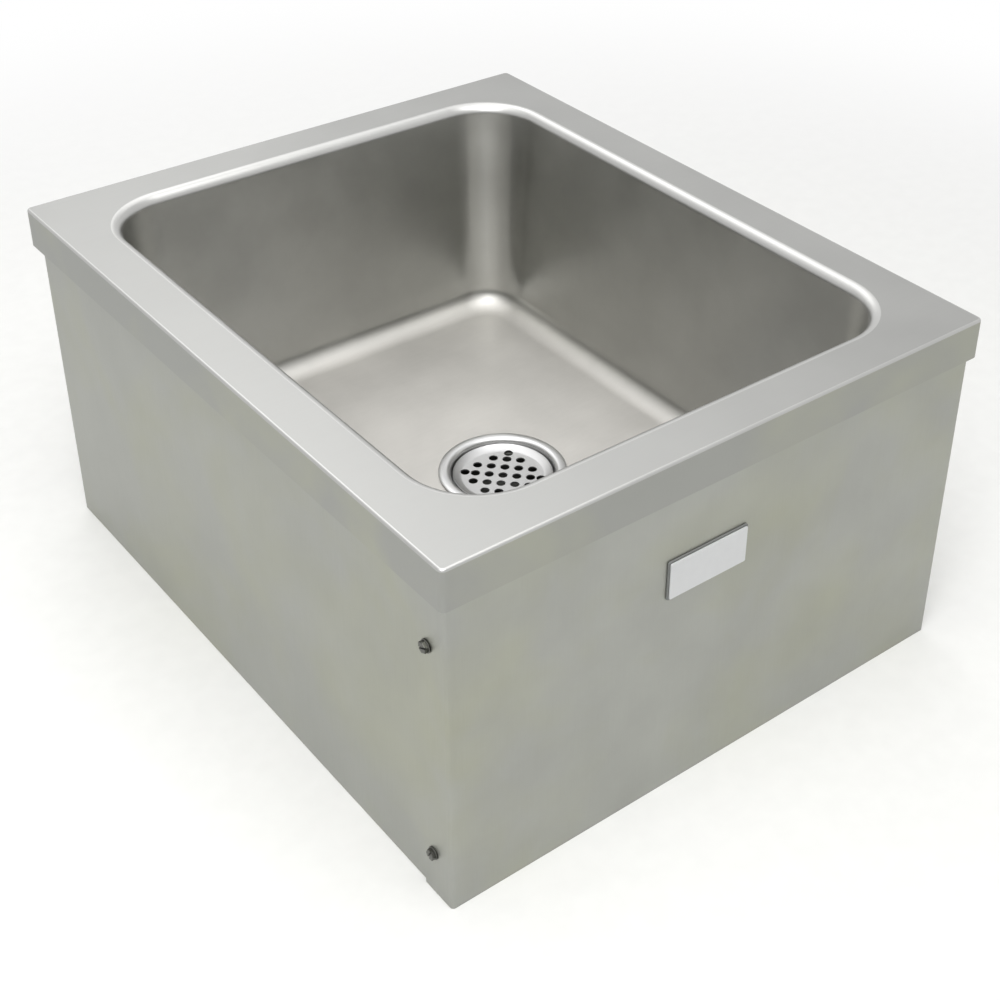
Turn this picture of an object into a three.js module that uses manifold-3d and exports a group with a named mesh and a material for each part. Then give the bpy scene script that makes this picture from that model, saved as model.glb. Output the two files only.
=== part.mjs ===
// Mop service sink: a stainless steel floor sink with a drawn bowl in a box skirt.
// Millimetres, +Z up. The origin is the centre of the footprint, on the floor.
// +X runs to the right along the front (label) face, +Y runs to the back.
import * as THREE from "three";
import { mergeVertices } from "three/addons/utils/BufferGeometryUtils.js";
import Module from "manifold-3d";

const wasm = await Module();
wasm.setup();

// ---------------------------------------------------------------- driving dimensions

// Overall envelope
const overallWidth = 495.3;
const overallDepth = 596.9;
const overallHeight = 304.8;

// Space left between neighbours that touch, and play round screws and lift-out parts
const seamGap = 0.3;
const screwPlay = 0.3;
const strainerPlay = 0.5;

// Rim deck and its turned-down apron
const deckSheet = 1.5;
const apronDrop = 33.3;
const deckBendRadius = 3;
const deckCornerRadius = 4.5;
const deckBorder = 35.6;

// Drawn bowl. Its depth is what the height leaves above the drain stack.
const bowlSheet = 1.5;
const rollRadius = 8.5;
const wallDraftDegrees = 4;
const openingCornerRadius = 62;
const wallTopCornerRadius = 50;
const wallFootCornerRadius = 36;
const floorFilletRadius = 22;
const floorFall = 4;

// Skirt
const skirtSheet = 1.5;
const panelInset = 4.5;
const panelBendRadius = 3;
const panelReturn = 32;
const skirtTopFlange = 20;
const skirtFootFlange = 19;

// Corner posts and the rail under the front of the deck
const postLeg = 30;
const postSheet = 2;
const railLeg = 25;
const railSheet = 1.5;
const angleInnerBend = 1.5;

// Panel screws: two on each side, near the front corners
const screwFromFront = 25.2;
const screwUpperDrop = 77.5;
const screwLowerHeight = 39.3;
const screwShankRadius = 2.4;
const screwLength = 13;
const screwPoint = 3;
const screwWasherRadius = 5.2;
const screwWasherHeight = 1;
const screwHeadRadius = 4.5;
const screwHeadHeight = 2.6;
const screwDome = 0.4;

// Rating plate on the front panel, left blank, on its dark backing pad
const labelFromCentre = -21;
const labelDrop = 103.9;
const labelWidth = 74.5;
const labelTall = 33.5;
const labelMargin = 1.2;
const labelBackingThickness = 1.2;
const labelPlateThickness = 1;

// Drain: a flanged cup in the bowl floor, drawn down by a locknut
const drainFromCentre = 20;
const drainHoleRadius = 46.2;
const drainSeatRadius = 60;
const drainFlangeRadius = 55.5;
const drainFlangeHeight = 2.8;
const drainFlangeEdge = 1;
const drainBarrelRadius = 45.5;
const drainBarrelLength = 26;
const drainThroatRadius = 46.4;
const drainWall = 2;
const ledgeDepth = 6;
const ledgeWidth = 4.5;
const ledgeRadius = 43.6;
const cupDepth = 36;
const cupFootRadius = 33;
const spoutRadius = 23.5;
const spoutWall = 3;
const spoutLength = 20;

// Strainer: a flat perforated disc, its square grid turned 45 degrees to the sink
const strainerThickness = 1.5;
const strainerHoleRadius = 3.7;
const strainerPitch = 12;
const strainerReach = 2.3;
const strainerOuterReach = 2.75;

// Seals and nuts under the bowl
const gasketThickness = 3;
const gasketRadius = 58;
const frictionRingThickness = 1.2;
const locknutHeight = 9;
const locknutRadius = 56;
const locknutLugs = 8;
const locknutLugHeight = 4;

// Tailpiece, its washer and its coupling nut
const tailpieceRadius = 19.05;
const tailpieceWall = 1.4;
const tailpieceClearance = 6;
const tailpieceLength = 28.2;
const tailpieceFlange = 1.5;
const tailpieceWasherThickness = 2;
const couplingNutSides = 8;
const couplingNutRadius = 30;
const couplingNutCover = 12;
const couplingNutLip = 3;

// How finely curves are faceted
const cornerSteps = 8;
const bendSteps = 3;
const rollSteps = 5;
const filletSteps = 6;
const roundSegments = 36;
const holeSegments = 8;
const screwSegments = 12;

// ---------------------------------------------------------------- derived places

const halfWidth = overallWidth / 2;
const halfDepth = overallDepth / 2;
const deckUnderside = overallHeight - deckSheet;
const skirtTop = deckUnderside - seamGap;

// Insets are measured inwards from the outer face of the apron
const wrapperInset = panelInset + skirtSheet + seamGap;
const postInset = wrapperInset + skirtSheet + seamGap;
const frontPostInset = panelInset + skirtSheet + seamGap;
const betweenPosts = halfWidth - postInset - postLeg - seamGap;

const screwHeights = { upper: overallHeight - screwUpperDrop, lower: screwLowerHeight };
const labelCentre = overallHeight - labelDrop;

// The drain stack, from the foot of the tailpiece up to the floor of the bowl
const tailpieceTop = tailpieceClearance + tailpieceLength;
const washerTop = tailpieceTop + seamGap + tailpieceWasherThickness;
const spoutFoot = washerTop + seamGap;
const cupFoot = spoutFoot + spoutLength;
const drainSeat = cupFoot + cupDepth;
const ledge = drainSeat - ledgeDepth;
const floorEdge = drainSeat + floorFall;

// The seals and the locknut hang below the bowl floor
const bowlUnderside = drainSeat - bowlSheet;
const gasketTop = bowlUnderside - seamGap;
const frictionRingTop = gasketTop - gasketThickness - seamGap;
const locknutTop = frictionRingTop - frictionRingThickness - seamGap;

// ---------------------------------------------------------------- finishes

const finish = (color, roughness, metalness) =>
  new THREE.MeshStandardMaterial({ color, roughness, metalness });

const satinSteel = finish(0xc9c9c5, 0.36, 1);
const drawnSteel = finish(0xb4b3af, 0.3, 1);
const skirtSteel = finish(0xa9aaa4, 0.42, 1);
const polishedSteel = finish(0xd6d6d6, 0.2, 1);
const galvanisedSteel = finish(0x9fa3a4, 0.55, 1);
const platedScrew = finish(0x8f8f8c, 0.35, 1);
const blankPlate = finish(0xdedfe0, 0.4, 0.6);
const darkPad = finish(0x2b2b2c, 0.8, 0);
const blackRubber = finish(0x1c1c1d, 0.85, 0);
const greyFibre = finish(0x8c7a62, 0.9, 0);
const brass = finish(0xb59a56, 0.4, 1);

// ---------------------------------------------------------------- shape helpers

const radians = THREE.MathUtils.degToRad;

/** The whole numbers 0 to count. */
const steps = (count) => Array.from({ length: count + 1 }, (_, index) => index);

/** Points round a rounded rectangle, the same number at every size. */
function rectangleLoop(halfX, halfY, radius, z) {
  const points = [];
  for (const corner of [0, 1, 2, 3]) {
    const signX = corner === 0 || corner === 3 ? 1 : -1;
    const signY = corner < 2 ? 1 : -1;
    for (const step of steps(cornerSteps)) {
      const angle = radians(90 * (corner + step / cornerSteps));
      points.push(new THREE.Vector3(
        signX * (halfX - radius) + radius * Math.cos(angle),
        signY * (halfY - radius) + radius * Math.sin(angle),
        z,
      ));
    }
  }
  return points;
}

/** A rounded rectangle at a distance inside the outer face of the apron. */
const insetLoop = (inset, radius, z) =>
  rectangleLoop(halfWidth - inset, halfDepth - inset, radius, z);

/** Points round a curve given as radius by angle. */
function roundLoop(radiusAt, z, count = roundSegments, turn = 0, centreX = 0) {
  return steps(count - 1).map((index) => {
    const angle = turn + (2 * Math.PI * index) / count;
    const radius = radiusAt(angle);
    return new THREE.Vector3(centreX + radius * Math.cos(angle), radius * Math.sin(angle), z);
  });
}

const circleLoop = (radius, z, count = roundSegments) => roundLoop(() => radius, z, count);

/** Joins loops with equal point counts into triangles, loop after loop. */
function bandIndices(loopCount, pointCount, wraps) {
  const indices = [];
  const last = wraps ? loopCount : loopCount - 1;
  for (let loop = 0; loop < last; loop += 1) {
    const next = (loop + 1) % loopCount;
    for (let point = 0; point < pointCount; point += 1) {
      const beside = (point + 1) % pointCount;
      const a = loop * pointCount + point;
      const b = loop * pointCount + beside;
      const c = next * pointCount + beside;
      const d = next * pointCount + point;
      indices.push(a, b, c, a, c, d);
    }
  }
  return indices;
}

function indexedGeometry(points, indices) {
  const geometry = new THREE.BufferGeometry();
  const positions = points.flatMap((point) => point.toArray());
  geometry.setAttribute("position", new THREE.Float32BufferAttribute(positions, 3));
  geometry.setIndex(indices);
  return geometry;
}

/** Six times the volume that the triangles enclose, negative if they face inwards. */
function signedVolume(points, indices) {
  let volume = 0;
  for (let index = 0; index < indices.length; index += 3) {
    const [a, b, c] = [0, 1, 2].map((offset) => points[indices[index + offset]]);
    volume += a.dot(b.clone().cross(c));
  }
  return volume;
}

function facingOut(points, indices) {
  if (signedVolume(points, indices) > 0) return indexedGeometry(points, indices);
  return indexedGeometry(points, indices.slice().reverse());
}

/** A ring-shaped solid: the last loop joins the first again. */
function ringSolid(loops) {
  return facingOut(loops.flat(), bandIndices(loops.length, loops[0].length, true));
}

/** A solid of stacked loops, closed at both ends by a fan to its centre. */
function stackSolid(loops) {
  const count = loops[0].length;
  const points = loops.flat();
  const indices = bandIndices(loops.length, count, false);
  const firstCentre = points.length;
  const lastCentre = points.length + 1;
  const lastStart = (loops.length - 1) * count;
  points.push(new THREE.Vector3(0, 0, loops[0][0].z));
  points.push(new THREE.Vector3(0, 0, loops[loops.length - 1][0].z));
  for (let point = 0; point < count; point += 1) {
    const beside = (point + 1) % count;
    indices.push(firstCentre, beside, point);
    indices.push(lastCentre, lastStart + point, lastStart + beside);
  }
  return facingOut(points, indices);
}

/** An outline in the XY plane, raised from one height to another. */
function raised(shape, low, high) {
  const settings = { depth: high - low, bevelEnabled: false, curveSegments: bendSteps };
  return new THREE.ExtrudeGeometry(shape, settings).translate(0, 0, low);
}

/** A box between two corners. */
function boxBetween(low, high) {
  const size = high.map((value, axis) => value - low[axis]);
  const geometry = new THREE.BoxGeometry(...size);
  return geometry.translate(...low.map((value, axis) => value + size[axis] / 2));
}

// ---------------------------------------------------------------- joining and cutting

function toSolid(geometry) {
  const bare = geometry.clone();
  bare.deleteAttribute("normal");
  bare.deleteAttribute("uv");
  const merged = mergeVertices(bare, 1e-4);
  return new wasm.Manifold(new wasm.Mesh({
    numProp: 3,
    vertProperties: new Float32Array(merged.attributes.position.array),
    triVerts: new Uint32Array(merged.index.array),
  }));
}

function toGeometry(solid) {
  const mesh = solid.getMesh();
  const geometry = new THREE.BufferGeometry();
  geometry.setAttribute("position", new THREE.BufferAttribute(mesh.vertProperties, 3));
  geometry.setIndex(new THREE.BufferAttribute(mesh.triVerts, 1));
  return geometry;
}

/** Welds pieces into one solid and drills it. */
function fabricate(pieces, drills = []) {
  const welded = pieces.map(toSolid).reduce((whole, piece) => whole.add(piece));
  return toGeometry(drills.map(toSolid).reduce((whole, drill) => whole.subtract(drill), welded));
}

// ---------------------------------------------------------------- rim deck

function deckGeometry() {
  const apronFoot = overallHeight - apronDrop;
  const bendCentre = overallHeight - deckBendRadius;
  const bendLoops = (radius) => steps(bendSteps).map((step) => {
    const angle = radians((90 * step) / bendSteps);
    const inset = deckBendRadius - radius * Math.cos(angle);
    return insetLoop(inset, deckCornerRadius - inset, bendCentre + radius * Math.sin(angle));
  });
  const innerRadius = deckBendRadius - deckSheet;
  return ringSolid([
    insetLoop(0, deckCornerRadius, apronFoot),
    ...bendLoops(deckBendRadius),
    insetLoop(deckBorder, openingCornerRadius, overallHeight),
    insetLoop(deckBorder, openingCornerRadius, deckUnderside),
    ...bendLoops(innerRadius).reverse(),
    insetLoop(deckSheet, deckCornerRadius - deckSheet, apronFoot),
  ]);
}

// ---------------------------------------------------------------- drawn bowl

/** The bowl's section from the deck seam to the foot of the wall fillet. */
function bowlSection(offset) {
  const draft = radians(wallDraftDegrees);
  const rollInset = deckBorder + seamGap;
  const rollCentre = overallHeight - rollRadius;
  const wallTopInset = rollInset + rollRadius * Math.cos(draft);
  const wallTop = rollCentre + rollRadius * Math.sin(draft);
  const filletCentre = floorEdge + floorFilletRadius;
  const wallFoot = filletCentre - floorFilletRadius * Math.sin(draft);
  const wallFootInset = wallTopInset + (wallTop - wallFoot) * Math.tan(draft);
  const filletInset = wallFootInset + floorFilletRadius * Math.cos(draft);

  const section = [];
  for (const step of steps(rollSteps)) {
    const share = step / rollSteps;
    const angle = (Math.PI / 2 - draft) * share;
    const spread = Math.sin(angle);
    const corner = THREE.MathUtils.lerp(openingCornerRadius, wallTopCornerRadius, spread);
    const radius = rollRadius - offset;
    section.push({
      inset: rollInset + radius * spread,
      corner: corner + offset * spread,
      z: rollCentre + radius * Math.cos(angle),
    });
  }
  for (const step of steps(filletSteps)) {
    const angle = THREE.MathUtils.lerp(draft, Math.PI / 2, step / filletSteps);
    const radius = floorFilletRadius + offset;
    const inset = filletInset - radius * Math.cos(angle);
    section.push({
      inset,
      corner: wallFootCornerRadius - (inset - wallFootInset),
      z: filletCentre - radius * Math.sin(angle),
    });
  }
  return section;
}

/** The dished floor: loops that change from the wall's outline to the round drain seat. */
function floorLoops(outline, drop) {
  const seat = roundLoop(
    () => drainSeatRadius, drainSeat - drop, outline.length, radians(5), drainFromCentre,
  );
  const hole = roundLoop(
    () => drainHoleRadius, drainSeat - drop, outline.length, radians(5), drainFromCentre,
  );
  const between = [0.3, 0.65].map((share) =>
    outline.map((point, index) => point.clone().lerp(seat[index], share)));
  return [...between, seat, hole];
}

function bowlGeometry() {
  const surface = (offset) => {
    const walls = bowlSection(offset).map(({ inset, corner, z }) => insetLoop(inset, corner, z));
    return [...walls, ...floorLoops(walls[walls.length - 1], offset)];
  };
  return ringSolid([...surface(0), ...surface(bowlSheet).reverse()]);
}

// ---------------------------------------------------------------- skirt

/** A U of sheet seen from above: a web across X with two equal arms along +Y. */
function channelOutline(halfSpan, webY, armEnd, bendRadius) {
  const outline = new THREE.Shape();
  const inner = bendRadius - skirtSheet;
  const innerSpan = halfSpan - skirtSheet;
  outline.moveTo(halfSpan, armEnd);
  outline.lineTo(innerSpan, armEnd);
  outline.lineTo(innerSpan, webY + bendRadius);
  outline.absarc(halfSpan - bendRadius, webY + bendRadius, inner, 0, -Math.PI / 2, true);
  outline.lineTo(-halfSpan + bendRadius, webY + skirtSheet);
  outline.absarc(-halfSpan + bendRadius, webY + bendRadius, inner, -Math.PI / 2, -Math.PI, true);
  outline.lineTo(-innerSpan, armEnd);
  outline.lineTo(-halfSpan, armEnd);
  outline.lineTo(-halfSpan, webY + bendRadius);
  outline.absarc(-halfSpan + bendRadius, webY + bendRadius, bendRadius, Math.PI, 1.5 * Math.PI);
  outline.lineTo(halfSpan - bendRadius, webY);
  outline.absarc(halfSpan - bendRadius, webY + bendRadius, bendRadius, -Math.PI / 2, 0);
  return outline;
}

const channelGeometry = (halfSpan, webY, armEnd) =>
  raised(channelOutline(halfSpan, webY, armEnd, panelBendRadius), 0, skirtTop);

/** Clearance holes along X, through both sides, for the panel screws. */
function screwDrills() {
  return Object.values(screwHeights).map((height) => {
    const drill = new THREE.CylinderGeometry(
      screwShankRadius + screwPlay, screwShankRadius + screwPlay, overallWidth, screwSegments,
    );
    return drill.rotateZ(Math.PI / 2).translate(0, screwFromFront - halfDepth, height);
  });
}

function frontPanelGeometry() {
  const front = panelInset - halfDepth;
  const panel = channelGeometry(halfWidth - panelInset, front, front + panelReturn);
  const foot = boxBetween(
    [-betweenPosts, front + skirtSheet / 2, 0],
    [betweenPosts, front + skirtSheet + skirtFootFlange, skirtSheet],
  );
  return fabricate([panel, foot], screwDrills());
}

function wrapperGeometry() {
  const back = halfDepth - wrapperInset;
  const armStart = panelInset + panelBendRadius + seamGap - halfDepth;
  const span = halfWidth - wrapperInset;
  const sheet = channelGeometry(span, -back, -armStart).rotateZ(Math.PI);
  const flangeFrame = (reach, low) => {
    const frame = new THREE.Shape();
    const outer = span - skirtSheet / 2;
    const outerBack = back - skirtSheet / 2;
    const inner = span - skirtSheet - reach;
    const innerBack = back - skirtSheet - reach;
    const flangeStart = frontPostInset + postLeg + seamGap - halfDepth;
    frame.moveTo(outer, flangeStart);
    frame.lineTo(outer, outerBack);
    frame.lineTo(-outer, outerBack);
    frame.lineTo(-outer, flangeStart);
    frame.lineTo(-inner, flangeStart);
    frame.lineTo(-inner, innerBack);
    frame.lineTo(inner, innerBack);
    frame.lineTo(inner, flangeStart);
    frame.closePath();
    return raised(frame, low, low + skirtSheet);
  };
  const topFlange = flangeFrame(skirtTopFlange, skirtTop - skirtSheet);
  const footFlange = flangeFrame(skirtFootFlange, 0);
  return fabricate([sheet, topFlange, footFlange], screwDrills());
}

// ---------------------------------------------------------------- posts and rail

/** An angle section, its outer faces on the axes and its legs along +X and +Y. */
function angleOutline(leg, sheet) {
  const outline = new THREE.Shape();
  const bend = sheet + angleInnerBend;
  outline.moveTo(bend, 0);
  outline.lineTo(leg, 0);
  outline.lineTo(leg, sheet);
  outline.lineTo(bend, sheet);
  outline.absarc(bend, bend, angleInnerBend, -Math.PI / 2, -Math.PI, true);
  outline.lineTo(sheet, leg);
  outline.lineTo(0, leg);
  outline.lineTo(0, bend);
  outline.absarc(bend, bend, bend, Math.PI, 1.5 * Math.PI);
  return outline;
}

// Each post is turned a quarter further than the one before it
const postCorners = ["front_left", "front_right", "back_right", "back_left"];

function postGeometry(corner) {
  const isFront = corner.startsWith("front");
  const side = corner.endsWith("left") ? -1 : 1;
  const cornerX = side * (halfWidth - postInset);
  const cornerY = isFront ? frontPostInset - halfDepth : halfDepth - postInset;
  const low = isFront ? 0 : skirtSheet + seamGap;
  const high = isFront ? skirtTop : skirtTop - skirtSheet - seamGap;
  const angle = raised(angleOutline(postLeg, postSheet), low, high)
    .rotateZ((Math.PI / 2) * postCorners.indexOf(corner))
    .translate(cornerX, cornerY, 0);
  return isFront ? fabricate([angle], screwDrills()) : angle;
}

/** The rail closes the open front of the wrapper: one leg hangs, one lies under the deck. */
function railGeometry() {
  const angle = raised(angleOutline(railLeg, railSheet), -betweenPosts, betweenPosts);
  return angle
    .applyMatrix4(new THREE.Matrix4().makeBasis(
      new THREE.Vector3(0, 1, 0), new THREE.Vector3(0, 0, -1), new THREE.Vector3(-1, 0, 0),
    ))
    .translate(0, frontPostInset - halfDepth, skirtTop);
}

// ---------------------------------------------------------------- panel screws

/** A hex washer-head screw pointing down -Z, the underside of its washer at z = 0. */
function screwGeometry() {
  const hexagon = (radius) => (angle) => {
    const fromFlat = (angle % (Math.PI / 3)) - Math.PI / 6;
    return (radius * Math.cos(Math.PI / 6)) / Math.cos(fromFlat);
  };
  const loop = (radiusAt, z) => roundLoop(radiusAt, z, screwSegments);
  const round = (radius, z) => loop(() => radius, z);
  const headTop = screwWasherHeight + screwHeadHeight;
  return stackSolid([
    round(screwDome, -screwLength),
    round(screwShankRadius, screwPoint - screwLength),
    round(screwShankRadius, 0),
    round(screwWasherRadius, 0),
    round(screwWasherRadius, screwWasherHeight / 2),
    loop(hexagon(screwHeadRadius), screwWasherHeight),
    loop(hexagon(screwHeadRadius), headTop - screwDome),
    loop(hexagon(screwHeadRadius - screwDome), headTop),
  ]);
}

// ---------------------------------------------------------------- rating plate

/** A flat plate on the front panel, a distance in front of the panel's face. */
function facePlate(width, tall, standOff, thickness) {
  const face = panelInset - halfDepth - standOff;
  const half = [width / 2, tall / 2];
  return boxBetween(
    [labelFromCentre - half[0], face - thickness, labelCentre - half[1]],
    [labelFromCentre + half[0], face, labelCentre + half[1]],
  );
}

// ---------------------------------------------------------------- drain

/** A turned ring from its section, a list of [radius, height] points. */
const turned = (section) => ringSolid(section.map(([radius, z]) => circleLoop(radius, z)));

function drainBodyGeometry() {
  const flangeFoot = drainSeat + seamGap;
  const flangeTop = drainSeat + drainFlangeHeight;
  const barrelFoot = drainSeat - drainBarrelLength;
  const cupTopRadius = ledgeRadius - ledgeWidth;
  const spoutBore = spoutRadius - spoutWall;
  return turned([
    [drainBarrelRadius, flangeFoot],
    [drainFlangeRadius - drainFlangeEdge, flangeFoot],
    [drainFlangeRadius, flangeFoot + drainFlangeEdge],
    [drainFlangeRadius - drainFlangeEdge * 1.5, flangeTop - drainFlangeEdge / 2],
    [(drainFlangeRadius + drainThroatRadius) / 2, flangeTop],
    [drainThroatRadius + drainFlangeEdge / 2, flangeTop - drainFlangeEdge / 2],
    [drainThroatRadius - drainFlangeEdge, flangeTop - drainFlangeEdge * 2],
    [ledgeRadius, ledge],
    [cupTopRadius, ledge],
    [cupTopRadius - drainWall, ledge - drainWall],
    [cupFootRadius, barrelFoot],
    [cupFootRadius - drainWall, cupFoot + drainWall * 1.5],
    [spoutBore + drainWall, cupFoot + drainWall],
    [spoutBore, cupFoot],
    [spoutBore, spoutFoot],
    [spoutRadius, spoutFoot],
    [spoutRadius, cupFoot - drainWall],
    [spoutRadius + drainWall, cupFoot],
    [cupFootRadius + drainWall / 2, cupFoot + drainWall],
    [drainBarrelRadius - ledgeWidth, barrelFoot - drainWall],
    [drainBarrelRadius, barrelFoot],
  ]);
}

const flatRing = (innerRadius, outerRadius, top, thickness) => turned([
  [innerRadius, top],
  [outerRadius, top],
  [outerRadius, top - thickness],
  [innerRadius, top - thickness],
]);

function locknutGeometry() {
  const bore = drainBarrelRadius + seamGap;
  const foot = locknutTop - locknutHeight;
  const lugged = (angle) => {
    const wave = Math.cos(locknutLugs * angle);
    return locknutRadius + (wave > 0 ? locknutLugHeight : 0);
  };
  const count = locknutLugs * 6;
  return ringSolid([
    circleLoop(bore, locknutTop, count),
    roundLoop(lugged, locknutTop, count),
    roundLoop(lugged, foot, count),
    circleLoop(bore, foot, count),
  ]);
}

function strainerGeometry() {
  const disc = new THREE.Shape();
  disc.setFromPoints(circleLoop(ledgeRadius - strainerPlay, 0).map(({ x, y }) =>
    new THREE.Vector2(x, y)));
  const reach = Math.ceil(strainerReach);
  for (let row = -reach; row <= reach; row += 1) {
    for (let column = -reach; column <= reach; column += 1) {
      const onAxis = row === 0 || column === 0;
      const isEnd = onAxis && Math.hypot(row, column) === reach;
      if (Math.hypot(row, column) > strainerReach && !isEnd) continue;
      const spread = isEnd ? strainerOuterReach / reach : 1;
      const centre = new THREE.Vector2(row, column)
        .multiplyScalar(strainerPitch * spread)
        .rotateAround(new THREE.Vector2(), Math.PI / 4);
      const hole = new THREE.Path();
      hole.setFromPoints(circleLoop(strainerHoleRadius, 0, holeSegments).map(({ x, y }) =>
        new THREE.Vector2(x, y).add(centre)));
      disc.holes.push(hole);
    }
  }
  const seat = ledge + seamGap;
  return raised(disc, seat, seat + strainerThickness);
}

function tailpieceGeometry() {
  const bore = tailpieceRadius - tailpieceWall;
  const flangeRadius = spoutRadius - seamGap;
  return turned([
    [bore, tailpieceTop],
    [flangeRadius, tailpieceTop],
    [flangeRadius, tailpieceTop - tailpieceFlange],
    [tailpieceRadius, tailpieceTop - tailpieceFlange],
    [tailpieceRadius, tailpieceClearance],
    [bore, tailpieceClearance],
  ]);
}

function couplingNutGeometry() {
  const top = spoutFoot + couplingNutCover;
  const shelf = tailpieceTop - tailpieceFlange - seamGap;
  const foot = shelf - couplingNutLip;
  const thread = spoutRadius + seamGap;
  const lip = tailpieceRadius + seamGap;
  const count = couplingNutSides * 6;
  const facet = Math.PI / couplingNutSides;
  const sided = (angle) =>
    (couplingNutRadius * Math.cos(facet)) / Math.cos((angle % (2 * facet)) - facet);
  return ringSolid([
    roundLoop(sided, foot, count),
    roundLoop(sided, top, count),
    circleLoop(thread, top, count),
    circleLoop(thread, shelf, count),
    circleLoop(lip, shelf, count),
    circleLoop(lip, foot, count),
  ]);
}

// ---------------------------------------------------------------- assembly

const sink = new THREE.Group();

function place(parent, name, geometry, material) {
  const mesh = new THREE.Mesh(geometry, material);
  mesh.name = name;
  parent.add(mesh);
  return mesh;
}

place(sink, "rim_deck", deckGeometry(), satinSteel);
place(sink, "drawn_bowl", bowlGeometry(), drawnSteel);
place(sink, "front_access_panel", frontPanelGeometry(), skirtSteel);
place(sink, "skirt_wrapper", wrapperGeometry(), skirtSteel);
place(sink, "front_rail", railGeometry(), galvanisedSteel);
for (const corner of postCorners) {
  place(sink, `post_${corner}`, postGeometry(corner), galvanisedSteel);
}

for (const [sideName, side] of [["left", -1], ["right", 1]]) {
  for (const [levelName, height] of Object.entries(screwHeights)) {
    const screw = place(sink, `screw_${sideName}_${levelName}`, screwGeometry(), platedScrew);
    screw.rotation.y = (side * Math.PI) / 2;
    screw.position.set(
      side * (halfWidth - panelInset + seamGap), screwFromFront - halfDepth, height,
    );
  }
}

const backing = facePlate(labelWidth, labelTall, seamGap, labelBackingThickness);
const plate = facePlate(
  labelWidth - 2 * labelMargin,
  labelTall - 2 * labelMargin,
  seamGap + labelBackingThickness + seamGap,
  labelPlateThickness,
);
place(sink, "label_backing", backing, darkPad);
place(sink, "label_plate", plate, blankPlate);

const drain = new THREE.Group();
drain.position.x = drainFromCentre;
sink.add(drain);

const sealBore = drainBarrelRadius + seamGap;
const gasket = flatRing(sealBore, gasketRadius, gasketTop, gasketThickness);
const frictionRing = flatRing(sealBore, gasketRadius, frictionRingTop, frictionRingThickness);
const washer = flatRing(
  tailpieceRadius, spoutRadius - seamGap, washerTop, tailpieceWasherThickness,
);
place(drain, "drain_body", drainBodyGeometry(), polishedSteel);
place(drain, "strainer_plate", strainerGeometry(), polishedSteel);
place(drain, "drain_gasket", gasket, blackRubber);
place(drain, "friction_ring", frictionRing, greyFibre);
place(drain, "drain_locknut", locknutGeometry(), brass);
place(drain, "tailpiece_washer", washer, blackRubber);
place(drain, "coupling_nut", couplingNutGeometry(), brass);
place(drain, "tailpiece", tailpieceGeometry(), brass);

export default sink;
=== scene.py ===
"""A stainless steel mop service sink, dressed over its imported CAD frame."""

import math

import bmesh
import bpy
from mathutils import Matrix, Vector


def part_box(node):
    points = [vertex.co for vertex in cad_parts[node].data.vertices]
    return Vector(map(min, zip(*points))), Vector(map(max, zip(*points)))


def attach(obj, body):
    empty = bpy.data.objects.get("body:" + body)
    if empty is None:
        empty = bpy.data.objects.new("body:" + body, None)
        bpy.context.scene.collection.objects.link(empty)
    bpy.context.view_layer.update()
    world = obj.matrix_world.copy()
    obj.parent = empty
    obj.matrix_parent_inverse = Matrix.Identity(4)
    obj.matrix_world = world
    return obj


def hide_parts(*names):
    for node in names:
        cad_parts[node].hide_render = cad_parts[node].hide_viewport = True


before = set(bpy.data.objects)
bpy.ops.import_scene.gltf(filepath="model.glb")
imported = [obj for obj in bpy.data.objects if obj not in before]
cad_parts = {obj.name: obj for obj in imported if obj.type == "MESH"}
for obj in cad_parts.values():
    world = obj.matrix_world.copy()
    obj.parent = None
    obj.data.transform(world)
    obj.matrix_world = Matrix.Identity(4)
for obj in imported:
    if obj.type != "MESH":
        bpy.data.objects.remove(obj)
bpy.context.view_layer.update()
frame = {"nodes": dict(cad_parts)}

bl_info = {
    "name": "Mop service sink",
    "version": (1, 0, 0),
    "blender": (4, 5, 0),
    "location": "View3D > Sidebar > Mop sink",
    "description": "Builds a floor-standing stainless steel mop sink and a studio round it",
    "category": "Add Mesh",
}

MM = 0.001
DECK_LOW, DECK_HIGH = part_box("rim_deck")
BOWL_LOW, BOWL_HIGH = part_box("drawn_bowl")
PANEL_LOW, PANEL_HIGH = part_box("front_access_panel")
WRAPPER_LOW, WRAPPER_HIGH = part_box("skirt_wrapper")
BACKING_LOW, BACKING_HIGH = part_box("label_backing")
PLATE_LOW, PLATE_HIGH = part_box("label_plate")
DRAIN_LOW, DRAIN_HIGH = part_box("drain_body")
STRAINER_LOW, STRAINER_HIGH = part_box("strainer_plate")
POST_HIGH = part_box("post_front_left")[1]
DRAIN_SEAT = BOWL_LOW.z + 1.5 * MM
# Points closer than this are one place, and levels reached in many steps may be this far off
CLOSE = 0.01 * MM
LEVEL = 0.1 * MM


# ---------------------------------------------------------------- sizes and colours


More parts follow.
